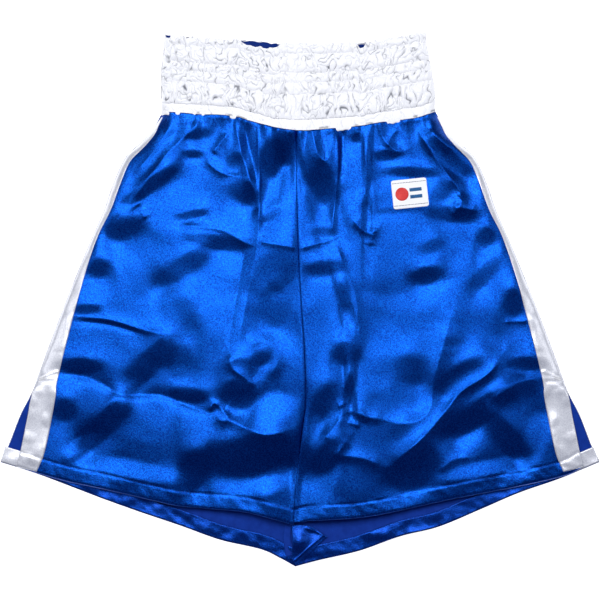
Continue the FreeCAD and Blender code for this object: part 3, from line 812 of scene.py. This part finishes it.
def back_hem(side):
    """The back's hem allowance, turned up over the panel's inside face, so that its glossy side shows."""
    pucker = lambda x, y: 0.55 * noise(x / 9 + y / 30, y / 9, 71) + 0.9 * noise(x / 27, y / 15, 72)
    blue = hem_grid(BACK_HEM[side], HEM_DEPTH, 14, (HEM_CORNER, 1.0))
    over = lambda x, y: back_z(x, y) + CLOTH_T + 0.45 + pucker(x, y)
    hem = cloth(f"{side}_back_hem", lifted(blue, over), [BLUE_FOLDED, BLUE_INSIDE])
    settle(hem, "blue_satin", f"back_hem_{side}")
    # the stripe's end is turned up with it at the vent, a little wider and on top
    white = hem_grid(BACK_HEM[side], HEM_DEPTH + 1.5, 14, (0.0, HEM_CORNER + 0.01))
    on_top = lambda x, y: back_z(x, y) + CLOTH_T + 0.75 + 0.3 * pucker(x, y)
    tape = cloth(f"{side}_back_stripe_hem", lifted(white, on_top), [WHITE_TAPE, WHITE_TAPE_BACK])
    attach(tape, "root")


def hem_stitch_line(line, depth, start):
    """Points of a stitching line that far up a hem, from that share of its length on."""
    return [tuple(p) for p in hem_grid(line, depth, 2)[1][int(HEM_POINTS * start):-2:6]]


def hem_stitching(side):
    front = hem_stitch_line(FRONT_HEM[side], HEM_DEPTH, HEM_CORNER)
    row = stitches(f"{side}_front_hem_stitching", [front], front_z, BLUE_THREAD)
    settle_bent(row, side, "blue_thread", "front_hem_stitching", f"corner_hem_stitching_{side}")
    back = hem_stitch_line(BACK_HEM[side], HEM_DEPTH - 1.0, HEM_CORNER + 0.005)
    row = stitches(f"{side}_back_hem_stitching", [back], above(back_z, CLOTH_T + 0.5), BLUE_THREAD)
    settle(row, "blue_thread", "back_hem_stitching")


def side_seam(side):
    """The turned edges that join front and back, inside the side seam."""
    line = mirrored([(x + 3.0, y) for x, y in SIDE[:-1]] + [(VENT_TOP[0] + 4.0, VENT_TOP[1] + 1.0)], side)
    seam = ribbon(f"{side}_side_seam", line, 5.0, above(back_z, 0.9), BLUE_FOLDED)
    settle(seam, "blue_satin", f"side_seam_{side}")


def bartack(side):
    """A bar of close stitches across the top of the vent."""
    sign = 1 if side == "right" else -1
    x, y = VENT_TOP[0] + 3.5, VENT_TOP[1] + 4.0
    lines = []
    for k in range(18):
        tx, ty = x + 0.45 * k, y + 0.15 * k
        lines.append([(sign * tx, ty - 1.0), (sign * (tx + 0.2), ty + 1.0)])
    over = above(stripe_z, 0.1)
    tack = stitches(f"{side}_vent_bartack", lines, over, WHITE_THREAD, pitch=2.0, length=1.9, radius=0.25)
    settle(tack, "white_thread", f"vent_bartack_{side}")


def rise_and_inseams():
    """The seams down the middle: the front's and back's rise, and each leg's inner seam."""
    rise = [p for p in SEAM if p[1] >= CROTCH_Y]
    for layer, height in (("front", above(front_z, -CLOTH_T - 0.8)), ("back", above(back_z, 0.6))):
        seam = ribbon(f"rise_seam_{layer}", rise, 9.0, height, BLUE_INSIDE)
        settle(seam, "blue_satin", f"{layer}_rise_seam")
    for side, sign in (("right", -1), ("left", 1)):
        line = [
            (6 + sign * 4, CROTCH_Y), (1 + sign * 4, -146), (-4 + sign * 4.5, -195),
            (-6 + sign * 5, -232), (-9 + sign * 5, -250), (-9 + sign * 2.5, -272),
        ]
        seam = ribbon(f"{side}_inseam", line, 8.0, above(back_z, 1.2), BLUE_INSIDE)
        settle(seam, "blue_satin", f"inseam_{side}")


def twisted_hem():
    """The end of the wearer's left inner leg seam, where the hem has twisted over, glossy side up."""
    start, turn, tip, inner = (-9, -238), (29, -251), (-4.5, -281.5), (-9, -276)
    grid = patch(
        [start, (10, -240), turn], [inner, (-7, -279), tip],
        [start, (-8, -260), inner], [turn, (13, -266), tip], 44, 44,
    )
    fold_line = spline([(24.5, -249.5), (10, -262), (-5.5, -276)], 20)
    top_line = spline([(6, -242), (17, -246), (28, -251)], 12)

    def over(x, y):
        bulge = 4.2 * bell(x + 1, 8) * bell(y + 256, 10)
        dent = 1.4 * bell(x - 15, 8) * bell(y + 247, 5)
        lines = sum(np.exp(-np.abs(from_line(line, x, y)[1])) for line in (fold_line, top_line))
        return back_z(x, y) + 2.2 + bulge - dent + 0.8 * lines

    twist = cloth("left_inseam_hem", lifted(grid, over), [BLUE_FOLDED, BLUE_INSIDE], SEAM_T)
    settle(twist, "blue_satin", "inseam_left")


# ---- waistband ----
def channel_at(share):
    """(how open the gathers are there, from 0 at a row of stitching to 1, and the channel's number)."""
    bounds = np.array((0.0,) + STITCH_ROWS + (1.0,))
    i = np.clip(np.searchsorted(bounds, share, side="right") - 1, 0, len(bounds) - 2)
    t = (share - bounds[i]) / (bounds[i + 1] - bounds[i])
    return np.sqrt(np.clip(np.sin(np.pi * np.clip(t, 0.0, 1.0)), 0, 1)), i


# for each channel, from the top: how thick its gathers are, how deep their creases are, how many more
# of them run straight down than wind about, and how strongly painted shade darkens their creases
PUFF = np.array((0.5, 0.6, 0.3, 0.35, 0.6, 0.3))
CREASE = np.array((0.9, 1.0, 0.8, 0.9, 1.0, 0.2))
UPRIGHT = np.array((0.0, -0.25, 0.0, 0.1, 0.35, 0.0))
PAINTED_SHADE = np.array((0.7, 1.0, 0.8, 0.9, 1.0, 0.25))
BAND_MIDDLE_Z = 0.5 * (box_mm("waistband_back_shell")[1][2] + BAND_LOW[2])
BACK_BAND_Z = 3.6
FLOOR_GAP = 0.45


def crease(n, width):
    """A puffed surface with a narrow valley wherever n passes through 0."""
    return 1 - np.exp(-np.abs(n) / width)


def ruffle(x, share, seed):
    """(height of the gathered satin over the band, how strongly painted shade darkens it there, from 0 to
    1).
    """
    y = share * BAND_HEIGHT
    open_, channel = channel_at(share)
    shift = channel * 7.3
    wx = x + 3.5 * noise(x / 12, y / 13 + shift, seed + 1) + 1.3 * noise(x / 4.5, y / 6, seed + 2)
    wy = y + 3.5 * noise(x / 10, y / 12 + shift, seed + 3)
    upright = noise(wx / 6.8 + shift, wy / 34, seed + 4)
    winding = noise(wx / 7.5, wy / 8.5 + shift, seed + 5)
    small = noise(wx / 4.0, wy / 7.0, seed + 7)
    patchy = np.clip(smooth(-0.6, 0.4, noise(x / 22, y / 20 + shift, seed + 8)) + UPRIGHT[channel], 0, 1)
    calm = 1 - 0.65 * bell(x + 6, 12)  # the gathers are lower near the middle
    depth = calm * CREASE[channel] * (0.45 + 0.55 * open_)
    wrinkle = 3.2 * crease(upright, 0.09) * patchy + 2.6 * crease(winding, 0.09) * (1.15 - patchy)
    wrinkle = wrinkle + 0.35 * small
    height = 0.6 + PUFF[channel] * open_ + depth * wrinkle + 0.4 * noise(x / 40, y / 30, seed + 6)
    broken = smooth(-0.4, 0.2, noise(x / 7, y / 8 + shift, seed + 9))
    # painted shade: darkest along the narrow valleys of the creases
    painted_crease_shade = np.maximum(patchy * bell(upright, 0.055), (1.1 - patchy) * bell(winding, 0.055))
    # painted shadow: short dark dashes just above the band's lower edge
    dashes = bell(share - 0.955, 0.012) * smooth(0.1, 0.5, noise(x / 6, 0.5, seed + 10))
    return height, np.clip(calm * PAINTED_SHADE[channel] * painted_crease_shade * broken + 0.8 * dashes, 0, 1)


def band_surface(seed, top_edge, level, sign, cols, rows):
    """(grid, painted shade) over one half of the band. level(x) is where it lies, and sign which way is
    out.
    """
    u = np.linspace(0, 1, cols)[None, :]
    v = np.linspace(0, 1, rows)[:, None]
    ends = [band_side(v, -1), band_side(v, 1)]
    ends = [end + 0.9 * noise(v * BAND_HEIGHT / 9, 0.4, seed + 15 + k) for k, end in enumerate(ends)]
    x = ends[0] + (ends[1] - ends[0]) * u
    scallop = 1.3 * np.abs(noise(x / 7.5, 0.3, seed + 11)) + 1.3 * noise(x / 17, 0.7, seed + 12)
    bottom = band_y(1.0, x) + scallop - 0.4
    top = top_edge(x) + 0.9 * noise(x / 5.5, 0.2, seed + 13) + 1.0 * noise(x / 15, 0.8, seed + 14)
    y = top + (bottom - top) * v
    h, painted_crease_shade = ruffle(x, v + 0 * x, seed)
    h = h * (0.35 + 0.65 * smooth(-0.01, 0.04, v)) * smooth(1.02, 0.985, v)
    from_end = np.minimum(x - ends[0], ends[1] - x)
    z = BAND_MIDDLE_Z + (level(x) + sign * h - BAND_MIDDLE_Z) * rolled(from_end / 11.0)
    return np.stack([x, y, z], axis=-1), painted_crease_shade


# (x, half width, depth) of the places where the front's frill falls short of the back's
FRILL_GAPS = [
    (-139.5, 3, 4.5), (-118.5, 1.8, 2.5), (-79, 2.5, 2), (-52, 10, 7), (-31, 10, 7),
    (-42, 8, 3), (65, 4, 5.5),
]


def front_top_edge(x):
    """The front's top edge, which just reaches the back's, but for a few gaps."""
    dip = sum(depth * np.exp(-(((x - at) / half) ** 4)) for at, half, depth in FRILL_GAPS)
    return band_y(0.0, x) - 0.3 - np.minimum(dip, 8.0)


def band_shell(layer, seed, top_edge, level, sign, cols, rows, side_node):
    """One half of the band, with a point attribute for its material of where painted shade darkens the
    satin's creases.
    """
    grid, painted_crease_shade = band_surface(seed, top_edge, level, sign, cols, rows)
    grid[..., 2] = np.maximum(grid[..., 2], FLOOR_GAP)
    shell = cloth(f"band_{layer}_shell", grid, [WHITE_BAND, WHITE_BAND], BAND_T)
    # the painted crease shade, for the points of both faces of the sheet
    both_faces = np.concatenate([painted_crease_shade.ravel(), painted_crease_shade.ravel()]).astype(np.float32)
    shell.data.attributes.new("painted_crease_shade", "FLOAT", "POINT").data.foreach_set("value", both_faces)
    settle(shell, "band_satin", f"waistband_{layer}_shell", side_node)


def waistband():
    level = lambda x: tent(x) + 0.2
    band_shell("front", 101, front_top_edge, level, 1, 640, 210, "waistband_side_right")
    level = lambda x: BACK_BAND_Z
    band_shell("back", 202, lambda x: band_y(0.0, x), level, -1, 420, 140, "waistband_side_left")


def lining(layer, top_edge, level):
    """A plain blue sheet inside the band, with shallow pleats from the elastics."""
    x_from, x_to = float(band_side(0.0, -1)) + 1.5, float(band_side(0.0, 1)) - 2.0
    xs = np.linspace(x_from, x_to, 120)
    top = [(x, float(top_edge(np.array(x)) - 2.2 * np.abs(noise(x / 7.0, 0.6, 93)))) for x in xs]
    bottom = band_line(1.0, x_from, x_to, 1.0, 13)
    grid = patch(top, bottom, [top[0], bottom[0]], [top[-1], bottom[-1]], 190, 50)
    pleated = lambda x, y: level(x) + 0.6 * noise(x / 5, y / 40, 91) + 0.25 * noise(x / 13, y / 20, 92)
    sheet = cloth(f"band_{layer}_lining", lifted(grid, pleated), [LINING])
    settle(sheet, "lining_cloth", f"waistband_{layer}_lining")


def linings():
    lining("back", lambda x: band_y(0.0, x) - 0.6, lambda x: 6.0)
    lining("front", lambda x: front_top_edge(x) - 2.5, lambda x: tent(x) - 2.2)


def elastics():
    """Four flat ribbed elastics, each a loop between the shell and the lining."""
    xs = np.linspace(15.0 - HALF_WAIST, HALF_WAIST - 15.0, 160)
    ribs = 0.12 * np.cos(np.linspace(0, 2 * math.pi * 8, 9))
    across = np.linspace(-0.5, 0.5, 9)
    for number, (top, bottom) in enumerate(zip(STITCH_ROWS, STITCH_ROWS[1:]), start=1):
        width = (bottom - top) * BAND_HEIGHT - 2.4
        mid_y = band_y((top + bottom) / 2, xs)
        rows = []
        for offset, rib in zip(across, ribs):
            y = mid_y + offset * width
            front = np.column_stack([xs, y, tent(xs) - 1.1 + rib])
            back = np.column_stack([xs, y, np.full(len(xs), 4.9 + rib)])[::-1]
            rows.append(np.vstack([front, back, front[:1]]))
        loop = cloth(f"elastic_{number}", np.array(rows), [ELASTIC], SEAM_T)
        settle(loop, "elastic", f"waist_elastic_{number}")


def band_stitching():
    rows = [band_line(share, -HALF_WAIST + 8, HALF_WAIST - 16, 0.0, 15) for share in STITCH_ROWS]
    over = lambda x, y: tent(x) + 1.6 + 0.8 * np.abs(noise(x / 5, y / 5, 104))
    under = lambda x, y: 2.6 - 0.4 * np.abs(noise(x / 5, y / 5, 204))
    for layer, height in (("front", over), ("back", under)):
        name = f"band_{layer}_stitching"
        piece = stitches(name, rows, height, WHITE_THREAD, pitch=3.2, length=2.2, radius=0.28)
        settle(piece, "white_thread", f"waistband_{layer}_stitching")


# ---- label ----
LABEL_TURN = math.radians(6.0)
LABEL_LOW, LABEL_HIGH = box_mm("label_patch")
LABEL_SHIFT = 1.5  # it is a little nearer the waist and the middle than in CAD
LABEL_CENTRE = (
    (LABEL_LOW[0] + LABEL_HIGH[0]) / 2 - LABEL_SHIFT,
    (LABEL_LOW[1] + LABEL_HIGH[1]) / 2 + LABEL_SHIFT,
)
LABEL_SIZE = (37.5, 30.5)
LABEL_CORNER = 2.2
MARK_LIFT, MARK_T = 0.38, 0.12


def label_point(u, v):
    """A place on the label, in its own turned axes, in mm from its centre."""
    c, s = math.cos(LABEL_TURN), math.sin(LABEL_TURN)
    return LABEL_CENTRE[0] + u * c - v * s, LABEL_CENTRE[1] + u * s + v * c


def label_z(x, y):
    """The label is stiffer than the satin, so it lies over the folds with only a part of their height."""
    level = front_z(np.array([LABEL_CENTRE[0]]), np.array([LABEL_CENTRE[1]]))[0]
    own = front_z(x, y)
    return np.maximum(own + 0.15, 0.45 * own + 0.55 * (level + 0.4)) + 0.35


def label_sheet(name, u, v, material, slot, node, lift=MARK_LIFT, thickness=MARK_T):
    """A sheet over a grid of u, v in the label's axes."""
    x, y = label_point(u, v)
    piece = cloth(name, np.stack([x, y, label_z(x, y) + lift], axis=-1), [material], thickness)
    settle(piece, slot, node)
    return piece


def label():
    half_w, half_h = LABEL_SIZE[0] / 2, LABEL_SIZE[1] / 2
    u, v = np.meshgrid(np.linspace(-1, 1, 44), np.linspace(-1, 1, 38))
    into_corner = np.clip((np.abs(v) * half_h - half_h + LABEL_CORNER) / LABEL_CORNER, 0, 1)
    inset = LABEL_CORNER * (1 - np.sqrt(1 - into_corner**2))
    u = u * (half_w - inset)
    cloth_piece = label_sheet("label", u, v * half_h, LABEL, "label_cloth", "label_patch", 0.25, BAND_T)
    angle, radius = np.meshgrid(np.linspace(0, 2 * math.pi, 41), np.linspace(0.02, 0.46 * half_h, 6))
    du, dv = -0.45 * half_w + radius * np.cos(angle), radius * np.sin(angle)
    parts = [label_sheet("label_disc", du, dv, EMBLEM_RED, "emblem_red", "label_emblem_disc")]
    for number, low in enumerate((-0.36, 0.12), start=1):
        bu, bv = np.meshgrid(np.linspace(0, 0.68 * half_w, 16), half_h * np.linspace(low, low + 0.24, 4))
        name = f"label_bar_{number}"
        parts.append(label_sheet(name, bu, bv, EMBLEM_BLUE, "emblem_blue", "label_emblem_bars"))
    rows = []
    for v_row in (-half_h + 3.4, half_h - 3.4):
        rows.append([label_point(u_at, v_row) for u_at in np.linspace(-half_w + 1.5, half_w - 1.5, 6)])
    over = above(label_z, 0.25)
    row = stitches("label_stitches", rows, over, DARK_THREAD, pitch=1.5, length=1.5, radius=0.36, lift=0.12)
    settle(row, "white_thread", "label_stitching")
    parts.append(row)


# ---- light, floor and camera ----
CAMERA_HEIGHT = 2.2  # metres, as are all the numbers of the lights
SENSOR = 36.0
FOCUS_Z = 0.006  # the level at which the shorts' width fills the picture
FLOOR_HALF = 4000.0  # mm


def softbox(name, place, size, power):
    """A rectangular light, aimed at the middle of the shorts."""
    data = bpy.data.lights.new(name, "AREA")
    data.shape = "RECTANGLE"
    data.size, data.size_y = size
    data.energy = power
    lamp = bpy.data.objects.new(name, data)
    lamp.location = place
    lamp.rotation_euler = (-Vector(place)).to_track_quat("-Z", "Y").to_euler()
    bpy.context.scene.collection.objects.link(lamp)


def floor_sheet():
    s = Shader("floor")
    s.set(Roughness=0.9, Base_Color=(0.9, 0.9, 0.9, 1), Emission_Color=(1, 1, 1, 1), Emission_Strength=0.75)
    corners = [(x * FLOOR_HALF, y * FLOOR_HALF, 0) for x, y in ((-1, -1), (1, -1), (1, 1), (-1, 1))]
    floor = new_object("floor", corners, [(0, 1, 2, 3)], [s.material])


def studio():
    scene = bpy.context.scene
    scene.view_settings.view_transform = "Standard"
    world = bpy.data.worlds.new("studio")
    world.use_nodes = True
    background = world.node_tree.nodes["Background"].inputs
    background["Color"].default_value = (0.40, 0.52, 1.0, 1)
    background["Strength"].default_value = 0.15
    scene.world = world
    softbox("top_softbox", (-0.1, 0.66, 1.95), (1.7, 1.0), 38)
    for name, x in (("left_softbox", -1.9), ("right_softbox", 1.9)):
        softbox(name, (x, 0.3, 1.5), (0.7, 1.4), 7)
    floor_sheet()
    data = bpy.data.cameras.new("camera")
    data.sensor_width = SENSOR
    data.lens = SENSOR * (CAMERA_HEIGHT - FOCUS_Z) / (CAD_BOX[1][0] - CAD_BOX[0][0])
    camera = bpy.data.objects.new("camera", data)
    camera.location = (0, 0, CAMERA_HEIGHT)
    scene.collection.objects.link(camera)
    scene.camera = camera


# ---- the whole object ----
LEG_PIECES = (
    front_panel, back_panel, front_stripe, back_stripe, front_hem, back_hem,
    hem_stitching, side_seam, bartack,
)
for leg in SIDES:
    for build in LEG_PIECES:
        build(leg)
rise_and_inseams()
twisted_hem()
waistband()
linings()
elastics()
band_stitching()
label()
studio()
